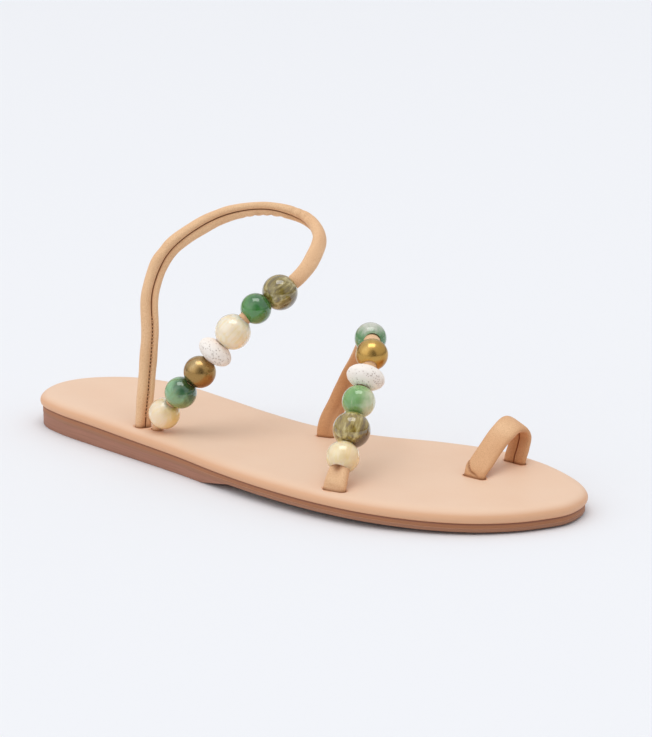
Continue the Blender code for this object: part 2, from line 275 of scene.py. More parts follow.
def new_group(name, inputs, outputs):
    """An empty shader node group: its tree, its input sockets and its output node."""
    tree = bpy.data.node_groups.new(name, "ShaderNodeTree")
    for socket, kind in inputs.items():
        tree.interface.new_socket(socket, in_out="INPUT", socket_type="NodeSocket" + kind)
    for socket in outputs:
        tree.interface.new_socket(socket, in_out="OUTPUT", socket_type="NodeSocketFloat")
    return tree, add_node(tree, "NodeGroupInput").outputs, add_node(tree, "NodeGroupOutput")


def object_coordinates(tree):
    """Coordinates of a piece in metres."""
    return add_node(tree, "ShaderNodeTexCoord").outputs["Object"]


def surface_value(tree, name):
    """A value that a piece keeps for each of its points."""
    return add_node(tree, "ShaderNodeAttribute", attribute_name=name).outputs["Fac"]


def add_bump(tree, height, strength, distance):
    """Normal of a fine relief, its distance in metres."""
    inputs = {"Height": height, "Strength": strength, "Distance": distance}
    return add_node(tree, "ShaderNodeBump", inputs).outputs["Normal"]


def add_noise(tree, place, scale, **more):
    """Value of a cloudy noise."""
    inputs = {"Vector": place, "Scale": scale, **more}
    return add_node(tree, "ShaderNodeTexNoise", inputs).outputs["Fac"]


def use_group(tree, group, inputs):
    """A node group placed in a material: its outputs."""
    return add_node(tree, "ShaderNodeGroup", inputs, node_tree=group).outputs


def board_group():
    """Ground board: fine streaks along the layers and small dark specks."""
    tree, source, target = new_group("ground_board", {"Vector": "Vector"}, ("Streaks", "Height"))
    place = source["Vector"]
    layers = add_node(tree, "ShaderNodeMapping", {"Vector": place, "Scale": (60, 60, 1800)}).outputs[0]
    streaks = add_noise(tree, layers, 1.0, Detail=4.0)
    height = add_math(tree, "ADD", streaks, add_noise(tree, place, 2600.0))
    set_inputs(tree, target, {"Streaks": streaks, "Height": height})
    return tree


ground_board = board_group()


def outsole_material():
    """Brown board: darker under the footbed, greyer in the lower sheet, paler in the groove, and
    painted dark underneath as shade that deepens the floor's shadow under the arch.
    """
    material, tree, shader = new_material("outsole_board")
    board = use_group(tree, ground_board, {"Vector": object_coordinates(tree)})
    depth = add_math(tree, "DIVIDE", surface_value(tree, "side_height"), -UNDER_DEPTH)
    layer = add_ramp(tree, depth, (
        (0.0, paint(OUTSOLE_DARK)),
        (0.08, paint(OUTSOLE_BROWN)),
        (0.36, paint(OUTSOLE_BROWN)),
        (0.45, paint(OUTSOLE_GREY)),
        (0.80, paint(OUTSOLE_GREY)),
        # painted shade: the underside is painted dark so that the floor under the arch stays in deep
        # shadow
        (1.0, paint(UNDERSIDE_PAINTED_SHADE)),
    ))
    layer = mix_colour(tree, surface_value(tree, "groove"), layer, paint(GROOVE_PALE))
    colour = mix_colour(tree, board["Streaks"], layer, paint(OUTSOLE_DARK))
    colour = mix_colour(tree, 0.25, layer, colour)
    relief = add_bump(tree, board["Height"], 0.25, 0.0001)
    set_inputs(tree, shader, {"Base Color": colour, "Roughness": 0.62, "Normal": relief})
    return material


sole_mesh = bmesh.new()
side = outline(1.0)
groove_share = np.clip((side[:, 0] - GROOVE_FROM) / (GROOVE_FULL - GROOVE_FROM), 0, 1)[:, None]
side_rows = sole_rows(OUTSOLE_EDGE, lambda x: sole_at("joint", x) - JOINT_GAP)
rows = []
for step, row in zip(OUTSOLE_EDGE, side_rows):
    in_groove = GROOVE_TOP > step.height > GROOVE_FOOT
    if in_groove:
        row[:, :2] = side + groove_share * (row[:, :2] - side)
    rows.append(np.column_stack([row, groove_share * in_groove]))
for inset in (TREAD_INSET, FOOT_INSET):
    loop = outline(inset)
    heights = np.maximum(sole_at("under", loop[:, 0]), 0.0)
    rows.append(np.column_stack([loop, heights, np.full(len(loop), -UNDER_DEPTH), np.zeros(len(loop))]))
wrap_grid(sole_mesh, rows, "side_height", "groove")
fill_openings(sole_mesh)
for vert in sole_mesh.verts:
    vert.co.z = max(vert.co.z, 0.0)
add_piece(sole_mesh, "outsole_plank", outsole_material(), "outsole_rubber", "outsole")

# Heel lift: one more layer of brown board under the heel, glued to the outsole and ground flush with
# it. It is about five millimetres high at the back and thins forward to a slanted front face.
LIFT_INSET = 1.1
LIFT_ROUND = 0.5
LIFT_BEVEL = 0.15
LIFT_EDGE = (
    Edge(LIFT_INSET, LIFT_ROUND),
    Edge(LIFT_INSET + LIFT_BEVEL, LIFT_BEVEL),
    Edge(LIFT_INSET + LIFT_ROUND, 0.0),
)
LIFT_SEAM = -0.12
BREAST_FLOOR_X = 108.0
BREAST_TOP_X = 124.5
BREAST_HEIGHT = 3.0
LIFT_SHARP = 35.0
LIFT_BROWN = (172, 121, 99)
LIFT_DARK = (142, 98, 78)


def lift_material():
    """Brown board with streaks along its layers."""
    material, tree, shader = new_material("lift_board")
    board = use_group(tree, ground_board, {"Vector": object_coordinates(tree)})
    colour = add_ramp(tree, board["Streaks"], ((0.3, paint(LIFT_DARK)), (0.62, paint(LIFT_BROWN))))
    colour = mix_colour(tree, 0.45, paint(LIFT_BROWN), colour)
    relief = add_bump(tree, board["Height"], 0.25, 0.0001)
    set_inputs(tree, shader, {"Base Color": colour, "Roughness": 0.66, "Normal": relief})
    return material


side = outline(LIFT_INSET)
lift_top = sole_at("joint", side[:, 0]) - OUTSOLE_SIDE - JOINT_GAP - LIFT_SEAM
lift_rows = [np.column_stack([side, heights]) for heights in (lift_top, (lift_top + LIFT_ROUND) / 2)]
lift_rows += sole_rows(LIFT_EDGE, np.zeros_like)
lift_mesh = bmesh.new()
wrap_grid(lift_mesh, lift_rows)
fill_openings(lift_mesh)
bmesh.ops.bisect_plane(
    lift_mesh,
    geom=lift_mesh.verts[:] + lift_mesh.edges[:] + lift_mesh.faces[:],
    plane_co=sandal_point(BREAST_FLOOR_X, 0, 0),
    plane_no=Vector((BREAST_HEIGHT, 0, BREAST_FLOOR_X - BREAST_TOP_X)),
    clear_outer=True,
)
bmesh.ops.edgeloop_fill(lift_mesh, edges=[edge for edge in lift_mesh.edges if edge.is_boundary])
heel_lift = add_piece(lift_mesh, "heel_layer", lift_material(), "lift_rubber", "heel_lift")
heel_lift.data.set_sharp_from_angle(angle=math.radians(LIFT_SHARP))

# Footbed: a foam sheet under smooth peach leather, which is drawn down over a soft rolled edge and
# tucked in under it. Each strap end goes down through a slot, and the leather dips a little round it.
FOOTBED_EDGE = (
    Edge(1.4, 0.0),
    Edge(0.65, 0.25),
    Edge(0.2, 0.85),
    Edge(0.02, 1.5),
    Edge(0.0, 2.1),
    Edge(0.16, 2.7),
    Edge(0.5, 3.3),
    Edge(1.05, 3.9),
    Edge(1.8, 4.38),
    Edge(2.7, 4.7),
    Edge(3.8, 4.9),
    Edge(5.2, 4.98),
    Edge(7.0, 5.0),
    Edge(9.0, 5.0),
)
FOOTBED_THICKNESS = 5.0
Slot = namedtuple("Slot", "x y turn length width")
SLOTS = (
    Slot(68.5, -25.2, 53.0, 6.5, 5.2),
    Slot(75.0, -24.2, 6.0, 4.9, 4.7),
    Slot(130.4, 11.8, 16.0, 8.0, 3.8),
    Slot(175.0, -40.0, 10.0, 9.5, 3.8),
    Slot(204.4, 7.3, 0.0, 9.9, 3.4),
    Slot(205.4, 32.0, 0.0, 9.8, 3.4),
)
SLOT_DEPTH = 3.2
SLOT_SIDES = 32
CUT_WELD = 0.01
SLOT_SHARP = 50.0
DIP_DEPTH = 0.55
DIP_REACH = 3.2
SWELL_HEIGHT = 0.18
SWELL_SCALE = 28.0
FOOTBED_PEACH = (238, 205, 178)
FOOTBED_WARM = (231, 190, 158)
# The edge tan is partly the burnished edge and partly painted shade on the roll's sloping side; the
# tuck colour is painted shade under the roll.
FOOTBED_EDGE_BURNISH_AND_SHADE = (229, 179, 141)
FOOTBED_TUCK_SHADE = (196, 134, 98)


def leather_group():
    """Leather: pebbled grain with fine pores as a height, and a slow change of tone."""
    inputs = {"Vector": "Vector", "Pebbles": "Float"}
    tree, source, target = new_group("leather_grain", inputs, ("Height", "Tone", "Pores"))
    place = source["Vector"]
    scale = source["Pebbles"]
    inputs = {"Vector": place, "Scale": scale}
    pebbles = add_node(tree, "ShaderNodeTexVoronoi", inputs, feature="SMOOTH_F1")
    hollow = add_math(tree, "MULTIPLY", pebbles.outputs["Distance"], 0.5)
    crease_scale = add_math(tree, "MULTIPLY", scale, 0.3)
    creases = add_noise(tree, place, crease_scale, Detail=5.0, Roughness=0.6)
    set_inputs(tree, target, {
        "Height": add_math(tree, "SUBTRACT", creases, hollow),
        "Tone": add_noise(tree, place, 45.0, Detail=4.0),
        "Pores": add_noise(tree, place, add_math(tree, "MULTIPLY", scale, 2.5)),
    })
    return tree


leather_grain = leather_group()


def grade(tree, value, low, high, first=0.0, last=1.0):
    """A value that runs smoothly from first to last while another goes from low to high."""
    inputs = {"Value": value, "From Min": low, "From Max": high, "To Min": first, "To Max": last}
    return add_node(tree, "ShaderNodeMapRange", inputs, interpolation_type="SMOOTHSTEP").outputs[0]


def footbed_material():
    """Peach leather, warmer and darker over its rolled edge, partly burnish and partly painted shade of
    its sloping side, and painted dark as shade where it goes in under the roll.
    """
    material, tree, shader = new_material("footbed_peach")
    grain = use_group(tree, leather_grain, {"Vector": object_coordinates(tree), "Pebbles": 1300.0})
    top = add_ramp(tree, grain["Tone"], ((0.3, paint(FOOTBED_WARM)), (0.62, paint(FOOTBED_PEACH))))
    top = mix_colour(tree, 0.3, paint(FOOTBED_PEACH), top)
    rise = add_math(tree, "DIVIDE", surface_value(tree, "edge_height"), FOOTBED_THICKNESS)
    # painted shade: darkest under the roll, darker and warmer on its sloping side
    edge = add_ramp(tree, rise, (
        (0.0, paint(FOOTBED_TUCK_SHADE)),
        (0.14, paint(FOOTBED_EDGE_BURNISH_AND_SHADE)),
        (0.62, paint(FOOTBED_EDGE_BURNISH_AND_SHADE)),
        (1.0, paint(FOOTBED_PEACH)),
    ))
    colour = mix_colour(tree, add_math(tree, "POWER", rise, 6.0, clamp=True), edge, top)
    set_inputs(tree, shader, {
        "Base Color": colour,
        "Roughness": grade(tree, grain["Pores"], 0.2, 0.8, 0.44, 0.54),
        "Specular IOR Level": 0.35,
        "Normal": add_bump(tree, grain["Height"], 0.22, 0.00012),
    })
    return material


def slot_distance(x, y, slot):
    """Distance in the plane from a place to the rim of a slot; zero inside it."""
    turn = math.radians(slot.turn)
    along = (x - slot.x) * math.cos(turn) + (y - slot.y) * math.sin(turn)
    across = (y - slot.y) * math.cos(turn) - (x - slot.x) * math.sin(turn)
    beyond = max(abs(along) - (slot.length - slot.width) / 2, 0.0)
    return max(math.hypot(beyond, across) - slot.width / 2, 0.0)


def slot_cutter(slot):
    """Upright bar with round ends that sinks one slot."""
    bm = bmesh.new()
    radius = slot.width / 2 * MM
    sizes = {"radius1": radius, "radius2": radius, "depth": 2 * SLOT_DEPTH * MM}
    bar = bmesh.ops.create_cone(bm, cap_ends=True, segments=SLOT_SIDES, **sizes)["verts"]
    straight = (slot.length - slot.width) / 2 * MM
    bmesh.ops.translate(bm, verts=[v for v in bar if v.co.x > 0], vec=(straight, 0, 0))
    bmesh.ops.translate(bm, verts=[v for v in bar if v.co.x <= 0], vec=(-straight, 0, 0))
    top = sole_at("joint", np.array([slot.x]))[0] + FOOTBED_THICKNESS
    place = Matrix.Translation(sandal_point(slot.x, slot.y, top))
    turn = Matrix.Rotation(math.radians(slot.turn), 4, "Z")
    bmesh.ops.transform(bm, matrix=place @ turn, verts=bar)
    return mesh_object(bm, "slot_cutter")


def cut_away(piece, cutters):
    """Take the cutters out of a piece, weld the cut and remove them."""
    for cutter in cutters:
        cut = piece.modifiers.new(cutter.name, "BOOLEAN")
        cut.operation = "DIFFERENCE"
        cut.object = cutter
    shown = bpy.context.evaluated_depsgraph_get()
    mesh = bpy.data.meshes.new_from_object(piece.evaluated_get(shown))
    bm = bmesh.new()
    bm.from_mesh(mesh)
    bmesh.ops.remove_doubles(bm, verts=bm.verts, dist=CUT_WELD * MM)
    bmesh.ops.dissolve_degenerate(bm, edges=bm.edges, dist=CUT_WELD * MM)
    bm.to_mesh(mesh)
    bm.free()
    piece.modifiers.clear()
    old = piece.data
    piece.data = mesh
    bpy.data.meshes.remove(old)
    mesh.name = piece.name
    for cutter in cutters:
        bpy.data.objects.remove(cutter)


footbed_mesh = bmesh.new()
footbed_rows = sole_rows(FOOTBED_EDGE, lambda x: sole_at("joint", x))
wrap_grid(footbed_mesh, footbed_rows, "edge_height")
fill_openings(footbed_mesh)
edge_height = footbed_mesh.verts.layers.float["edge_height"]
for vert in footbed_mesh.verts:
    x = vert.co.x / MM + LENGTH / 2
    y = vert.co.y / MM + MIDDLE_Y
    base = sole_at("joint", np.array([x]))[0]
    rise = vert.co.z / MM - base
    if rise > FOOTBED_THICKNESS / 2:
        vert[edge_height] = rise
        share = rise / FOOTBED_THICKNESS
        swell = SWELL_HEIGHT * noise.noise(vert.co * SWELL_SCALE)
        near = min(slot_distance(x, y, slot) for slot in SLOTS)
        dip = DIP_DEPTH * math.exp(-(near / DIP_REACH) ** 2)
        vert.co.z += share * (swell - dip) * MM
footbed = add_piece(footbed_mesh, "footbed_cover", footbed_material(), "footbed_leather", "footbed")
cut_away(footbed, [slot_cutter(slot) for slot in SLOTS])
footbed.data.set_sharp_from_angle(angle=math.radians(SLOT_SHARP))

# Ankle strap: one strip of soft camel leather folded in on itself to a flat tube, so that its cut edges
# meet in a slit on the inner face, caught low down with small stitches. It rises from its slot, loops
# round the ankle and comes back as a thin cord, threaded with beads, into a second slot beside it.
Bend = namedtuple("Bend", "x y z width thick out_x out_y out_z slit")
ANKLE_ROUTE = (
    Bend(68.5, -25.2, 9.7, 6.0, 4.4, -0.8, 0.6, 0.0, -8),
    Bend(68.6, -25.1, 13.5, 6.3, 4.6, -0.8, 0.6, 0.0, -8),
    Bend(67.6, -21.6, 30.3, 6.8, 5.0, -0.8, 0.6, 0.0, -8),
    Bend(66.3, -17.9, 47.5, 6.9, 5.0, -0.8, 0.6, 0.0, -8),
    Bend(63.6, -14.0, 63.7, 6.9, 5.0, -0.8, 0.6, 0.1, -4),
    Bend(64.9, -5.7, 77.3, 7.2, 5.0, -0.8, 0.5, 0.3, 2),
    Bend(70.6, 7.2, 86.0, 6.9, 5.0, -0.8, 0.4, 0.1, 8),
    Bend(76.9, 21.7, 90.4, 6.0, 5.0, -0.8, 0.5, 0.1, 10),
    Bend(85.8, 35.0, 90.4, 5.5, 5.0, -0.5, 0.8, 0.2, 8),
    Bend(96.4, 41.4, 87.2, 5.7, 5.0, 0.2, 0.9, 0.3, -10),
    Bend(107.1, 36.8, 82.8, 6.0, 5.0, 0.9, 0.3, 0.3, -20),
    Bend(113.1, 26.2, 77.4, 6.2, 5.0, 0.8, -0.4, 0.4, 0),
    Bend(114.9, 16.0, 72.0, 6.0, 5.0, 0.7, -0.5, 0.5, 0),
    Bend(111.8, 6.0, 65.9, 5.2, 4.8, 0.7, -0.6, 0.4, 0),
    Bend(107.7, -3.1, 61.2, 4.8, 4.6, 0.7, -0.6, 0.3, 0),
    Bend(102.5, -11.1, 52.4, 5.4, 5.2, 0.7, -0.6, 0.2, 0),
    Bend(97.6, -15.8, 44.7, 4.4, 4.4, 0.7, -0.6, 0.1, 0),
    Bend(93.6, -20.5, 36.8, 4.4, 4.4, 0.7, -0.6, 0.0, 0),
    Bend(87.1, -24.2, 28.5, 4.4, 4.4, 0.7, -0.6, -0.1, 0),
    Bend(80.8, -26.7, 19.6, 4.4, 4.4, 0.8, -0.5, -0.3, 0),
    Bend(76.3, -25.2, 13.4, 4.4, 4.4, 0.9, -0.3, -0.3, 0),
    Bend(75.0, -24.2, 9.7, 4.4, 4.4, 1.0, 0.0, 0.0, 0),
)
ANKLE_STEP = 0.7
STRAP_POINTS = 64
SECTION_SAMPLES = 1441
SLIT_CROWDING = 0.85
FLATNESS_POWER = 1.4
FULL_THICK = 5.0
SLIT_DEPTH = 0.7
SLIT_WIDTH = 0.22
LIP_DEPTH = 0.75
LIP_REACH = 1.4
LUMP_HEIGHT = 0.15
LUMP_SIZE = 7.0
# Painted shade: the strap is painted darker where it goes down into its slot.
TUCK_PAINTED_SHADE = 0.55
TUCK_FADE = 0.9

# Creases: distance along the strap, turn round it from the middle of the inner face, depth (a ridge
# where it is below zero), reach along and round, how far it slants along for a quarter turn, and its
# darkness, which is painted shade in the crease (painted light, paler leather, where it is below zero).
Crease = namedtuple("Crease", "at turn depth run spread slant dark")
ANKLE_CREASES = (
    Crease(66, 80, -0.5, 3.5, 45, 0, 0),
    Crease(71, 78, 0.35, 1.8, 50, 1, 0),
    Crease(128, 70, 0.45, 0.9, 55, 0.8, 0),
    Crease(131.5, 62, 0.55, 0.9, 60, -0.6, 0),
    Crease(135, 72, 0.45, 1.0, 55, 0.5, 0),
    Crease(139, 60, 0.3, 1.2, 50, -0.8, 0),
    Crease(109, -62, 0.3, 0.8, 40, 0, 0),
    Crease(112.5, -66, 0.4, 0.9, 40, 0.5, 0.1),
    Crease(116, -60, 0.35, 0.8, 40, -0.5, 0),
    Crease(119.5, -66, 0.45, 0.9, 40, 0.5, 0.1),
    Crease(123.5, -60, 0.4, 1.0, 40, -0.5, 0),
    Crease(150, 175, 0.18, 3.0, 60, 4, 0),
    Crease(163, 200, 0.2, 2.2, 50, -3, 0),
    Crease(8, 40, 0.25, 1.6, 60, 1.5, 0),
    Crease(33, 30, 0.12, 5.0, 60, 3, 0),
)
STITCH_FIRST = 6.0
STITCH_LAST = 46.0
STITCH_STEP = 1.3
STITCH_LENGTH = 1.3
STITCH_THICK = 0.55
STITCH_RISE = 0.16
STITCH_SPAN = STRAP_POINTS // 12
STRAP_CAMEL = (248, 209, 166)
# Painted shade: the warm colour stands for shaded leather on the straps; it is also the darker end of
# the leather's random tone.
STRAP_WARM_TONE_AND_SHADE = (208, 148, 99)
STRAP_SPECK = (204, 182, 158)
# Painted shade: the share of the warm shade colour beside the slit, and for the ankle strap on its
# outer face and what its inner face adds.
LIP_PAINTED_SHADE = 0.35
ANKLE_PAINTED_SHADE = (0.35, -0.3)
# Painted shade: brown inside the slit where its edges meet; the thread's twist uses the same brown.
SLIT_SHADE_AND_THREAD_BROWN = (138, 74, 35)
THREAD_TAN = (206, 152, 104)


def read_route(route, step):
    """Rows of a smooth strap route, spaced evenly along it."""
    rows = np.array(route, dtype=float)
    runs = np.linalg.norm(np.diff(rows[:, :3], axis=0), axis=1)
    knots = np.concatenate([[0.0], np.cumsum(runs)])
    return smooth_curve(knots, rows, np.linspace(0, knots[-1], int(round(knots[-1] / step)) + 1))


def fold_section(width, thick, slit):
    """Section of the folded strip from slit to slit: places, turns, nearness to slit and to lips."""
    flatness = min(1.0, max(0.0, width / thick - 1))
    power = 2 / (2 + FLATNESS_POWER * flatness)
    turn = math.radians(slit) + np.linspace(0, 2 * math.pi, SECTION_SAMPLES)
    across = np.sign(np.sin(turn)) * np.abs(np.sin(turn)) ** power * width / 2
    out = -np.sign(np.cos(turn)) * np.abs(np.cos(turn)) ** power * thick / 2
    steps = np.hypot(np.diff(across), np.diff(out))
    reach = np.concatenate([[0.0], np.cumsum(steps)])
    t = np.arange(STRAP_POINTS) / STRAP_POINTS
    along = reach[-1] * (t - SLIT_CROWDING * np.sin(2 * math.pi * t) / (2 * math.pi))
    places = np.column_stack([np.interp(along, reach, across), np.interp(along, reach, out)])
    away = np.minimum(along, reach[-1] - along)
    slit_and_shade_share = np.exp(-(away / SLIT_WIDTH) ** 2)
    size = min(1.0, thick / FULL_THICK)
    lip_share = np.exp(-(away / LIP_REACH) ** 2)
    push = size * (SLIT_DEPTH * slit_and_shade_share + LIP_DEPTH * lip_share)
    run = np.roll(places, -1, axis=0) - np.roll(places, 1, axis=0)
    inward = np.column_stack([-run[:, 1], run[:, 0]]) / np.linalg.norm(run, axis=1)[:, None]
    turns = np.degrees(np.interp(along, reach, turn))
    return places + inward * push[:, None], turns, slit_and_shade_share, lip_share


def crease_section(creases, along, turns):
    """How far the creases push a strap in, and how dark they are, round it at one distance along it."""
    depth = np.zeros(len(turns))
    dark = np.zeros(len(turns))
    for crease in creases:
        off = (turns - crease.turn + 180) % 360 - 180
        run = along - crease.at - crease.slant * off / 90
        share = np.exp(-(run / crease.run) ** 2 - (off / crease.spread) ** 2)
        depth += crease.depth * share
        dark += crease.dark * share
    return depth, dark


def strap_rows(route, step, creases, painted_shade_amounts):
    """Rows of points of a folded strap, painted dark as shade where it goes down into a slot, in its
    slit and in its creases.

    Painted shade amounts are the share of the warm shade colour on its outer face and what the inner
    face adds.
    """
    bends = read_route(route, step)
    headings = np.gradient(bends[:, :3], axis=0)
    headings[0] = (0, 0, 1)
    headings[-1] = (0, 0, -1)
    rows = []
    for number, (bend, heading) in enumerate(zip(map(Bend._make, bends), headings)):
        centre = np.array((bend.x, bend.y, bend.z))
        out = np.array((bend.out_x, bend.out_y, bend.out_z))
        heading = heading / np.linalg.norm(heading)
        out -= out.dot(heading) * heading
        out /= np.linalg.norm(out)
        across = np.cross(heading, out)
        places, turns, slit_and_shade_share, lip_share = fold_section(bend.width, bend.thick, bend.slit)
        push, dark = crease_section(creases, number * step, turns)
        points = centre + places[:, :1] * across + places[:, 1:] * out
        push += [LUMP_HEIGHT * noise.noise(Vector(point) / LUMP_SIZE) for point in points]
        points -= (points - centre) / np.linalg.norm(places, axis=1)[:, None] * push[:, None]
        inner_share = 0.5 + 0.5 * np.cos(np.radians(turns))
        # Painted shade: the warm shade colour's share on each face and beside the slit.
        painted_shade_share = painted_shade_amounts[0] + painted_shade_amounts[1] * inner_share + LIP_PAINTED_SHADE * lip_share
        # Painted highlight: creases whose darkness is below zero lower the shade share, so the leather
        # there is paler.
        painted_shade_share += np.minimum(dark, 0)
        # Painted shade where the strap goes down into its slot.
        surface = sole_at("joint", points[:, 0]) + FOOTBED_THICKNESS - DIP_DEPTH
        tucked = TUCK_PAINTED_SHADE * np.clip(1 - (points[:, 2] - surface) / TUCK_FADE, 0, 1)
        # Painted shade of the slit, the creases and the slot foot, whichever is darkest.
        darkest = np.maximum.reduce([slit_and_shade_share, dark, tucked])
        rows.append(np.column_stack([points, darkest, painted_shade_share]))
    return rows


def strap_material():
    """Soft camel leather with painted shade: dark in the slit, in the creases and where it goes into
    its slot, and warmer on its shaded faces.
    """
    material, tree, shader = new_material("strap_camel")
    grain = use_group(tree, leather_grain, {"Vector": object_coordinates(tree), "Pebbles": 1700.0})
    # Painted shade: the warm colour mixed in by the painted shade share.
    face = mix_colour(tree, surface_value(tree, "painted_shade_share"), paint(STRAP_CAMEL), paint(STRAP_WARM_TONE_AND_SHADE))
    worn = add_ramp(tree, grain["Tone"], ((0.36, paint(STRAP_WARM_TONE_AND_SHADE)), (0.62, paint(STRAP_CAMEL))))
    face = mix_colour(tree, 0.2, face, worn)
    speckled = mix_colour(tree, 1.0, face, paint(STRAP_SPECK), "MULTIPLY")
    face = mix_colour(tree, grade(tree, grain["Pores"], 0.55, 0.35, 0.0, 0.5), face, speckled)
    # painted shade of the slit, the creases and the slot foot
    slit = add_math(tree, "POWER", surface_value(tree, "slit_and_shade_share"), 0.6, clamp=True)
    set_inputs(tree, shader, {
        "Base Color": mix_colour(tree, slit, face, paint(SLIT_SHADE_AND_THREAD_BROWN)),
        "Roughness": 0.6,
        "Specular IOR Level": 0.3,
        "Sheen Weight": 0.08,
        "Normal": add_bump(tree, grain["Height"], 0.4, 0.00018),
    })
    return material


strap_camel = strap_material()


def add_strap(rows, name, node):
    """Wrap a strap's rows into a closed tube and place it."""
    bm = bmesh.new()
    wrap_grid(bm, rows, "slit_and_shade_share", "painted_shade_share")
    rims = [edge for edge in bm.edges if edge.is_boundary]
    bmesh.ops.holes_fill(bm, edges=rims, sides=0)
    add_piece(bm, name, strap_camel, "strap_leather", node)


def thread_material():
    """Twisted tan thread."""
    material, tree, shader = new_material("stitch_thread")
    twist = add_noise(tree, object_coordinates(tree), 5200.0)
    colour = mix_colour(tree, twist, paint(SLIT_SHADE_AND_THREAD_BROWN), paint(STRAP_CAMEL))
    colour = mix_colour(tree, 0.35, paint(THREAD_TAN), colour)
    relief = add_bump(tree, twist, 0.4, 0.0001)
    set_inputs(tree, shader, {"Base Color": colour, "Roughness": 0.75, "Normal": relief})
    return material


def add_stitches(rows, step):
    """Small stitches that cross the slit of a strap, as one joined mesh."""
    bm = bmesh.new()
    for at in np.arange(STITCH_FIRST, STITCH_LAST, STITCH_STEP):
        row = rows[int(round(at / step))]
        left = sandal_point(*row[STITCH_SPAN][:3])
        right = sandal_point(*row[-STITCH_SPAN][:3])
        middle = (left + right) / 2
        heart = sandal_point(*row[:, :3].mean(axis=0))
        middle += (middle - heart) * STITCH_RISE
        turn = Vector((1, 0, 0)).rotation_difference(right - left).to_matrix().to_4x4()
        stretch = Matrix.Diagonal((STITCH_LENGTH / 2, STITCH_THICK / 2, STITCH_THICK / 2, 1 / MM)) * MM
        place = Matrix.Translation(middle) @ turn @ stretch
        bmesh.ops.create_icosphere(bm, subdivisions=2, radius=1.0, matrix=place)
    add_piece(bm, "ankle_strap_stitches", thread_material(), "strap_leather")


ankle_rows = strap_rows(ANKLE_ROUTE, ANKLE_STEP, ANKLE_CREASES, ANKLE_PAINTED_SHADE)
add_strap(ankle_rows, "ankle_strap_folded", "ankle_strap")
add_stitches(ankle_rows, ANKLE_STEP)

# Forefoot strap: the same folded strip, its slit along the front of the outer face. A wide plain leg
# rises from the inner slot, gathers to a cord at the instep, runs down through the beads, and spreads
# again, with a pinch under the last bead, into its slot at the outer edge.
FOREFOOT_ROUTE = (
    Bend(130.4, 11.8, 9.0, 7.4, 3.2, -0.3, 0.95, 0.0, 140),
    Bend(130.4, 11.9, 12.6, 7.6, 3.2, -0.3, 0.95, 0.0, 140),
    Bend(132.6, 17.3, 24.6, 7.8, 3.2, -0.3, 0.95, 0.1, 150),
    Bend(134.9, 20.3, 32.6, 7.6, 3.2, -0.4, 0.9, 0.2, 150),
    Bend(138.5, 21.1, 39.8, 7.4, 3.2, -0.5, 0.7, 0.4, 150),
    Bend(142.8, 19.0, 46.7, 6.8, 3.8, -0.4, 0.4, 0.8, 150),
    Bend(148.2, 13.7, 52.6, 5.9, 4.8, -0.3, 0.4, 0.8, 110),
    Bend(155.6, 6.9, 55.2, 6.0, 5.4, 0.0, 0.3, 0.9, 50),
    Bend(163.6, -2.6, 51.8, 6.9, 6.2, 0.2, 0.0, 0.9, 0),
    Bend(165.5, -9.1, 44.7, 4.4, 4.2, 0.4, -0.3, 0.7, 0),
    Bend(166.8, -14.9, 37.0, 4.2, 4.2, 0.4, -0.4, 0.7, 0),
    Bend(170.1, -23.1, 28.8, 4.2, 4.2, 0.4, -0.5, 0.7, 0),
    Bend(172.5, -31.6, 20.9, 5.4, 4.4, 0.3, -0.6, 0.7, 0),
    Bend(174.0, -35.8, 16.5, 7.6, 4.2, 0.2, -0.7, 0.6, 0),
    Bend(174.8, -38.7, 13.2, 8.6, 3.6, 0.2, -0.8, 0.4, 0),
    Bend(175.0, -39.9, 10.8, 9.0, 3.2, 0.17, -1.0, 0.0, 0),
    Bend(175.0, -40.0, 8.0, 9.0, 3.2, 0.17, -1.0, 0.0, 0),
)
FOREFOOT_STEP = 0.5
# Painted shade on the forefoot strap's faces, strongest on the inner face of the wide leg.
FOREFOOT_PAINTED_SHADE = (0.2, 0.8)
# Creases with a darkness paint shade into the folds of the wide leg and the notch at the top of the
# outer tab.
FOREFOOT_CREASES = (
    Crease(11, 20, 0.2, 4.0, 40, 6, 0),
    Crease(22, -10, 0.3, 2.4, 60, 5, 0),
    Crease(18, -8, 0.4, 14.0, 9, 0, 0.22),
    Crease(16, -50, 0.3, 10.0, 28, 0, 0.12),
    Crease(34, -35, 0.35, 7.0, 16, 0, 0),
    Crease(44, 10, 0.45, 6.0, 14, 0, 0),
    Crease(45, -50, 0.4, 6.0, 14, 0, 0),
    Crease(124, 178, 0.9, 2.4, 10, 0, 0.35),
    Crease(127, 140, -0.2, 3.0, 26, 0, 0),
    Crease(127, 215, -0.2, 3.0, 26, 0, 0),
    Crease(132, 195, 0.25, 0.8, 50, 1.5, 0.1),
)
forefoot_rows = strap_rows(FOREFOOT_ROUTE, FOREFOOT_STEP, FOREFOOT_CREASES, FOREFOOT_PAINTED_SHADE)
add_strap(forefoot_rows, "forefoot_strap_folded", "forefoot_strap")

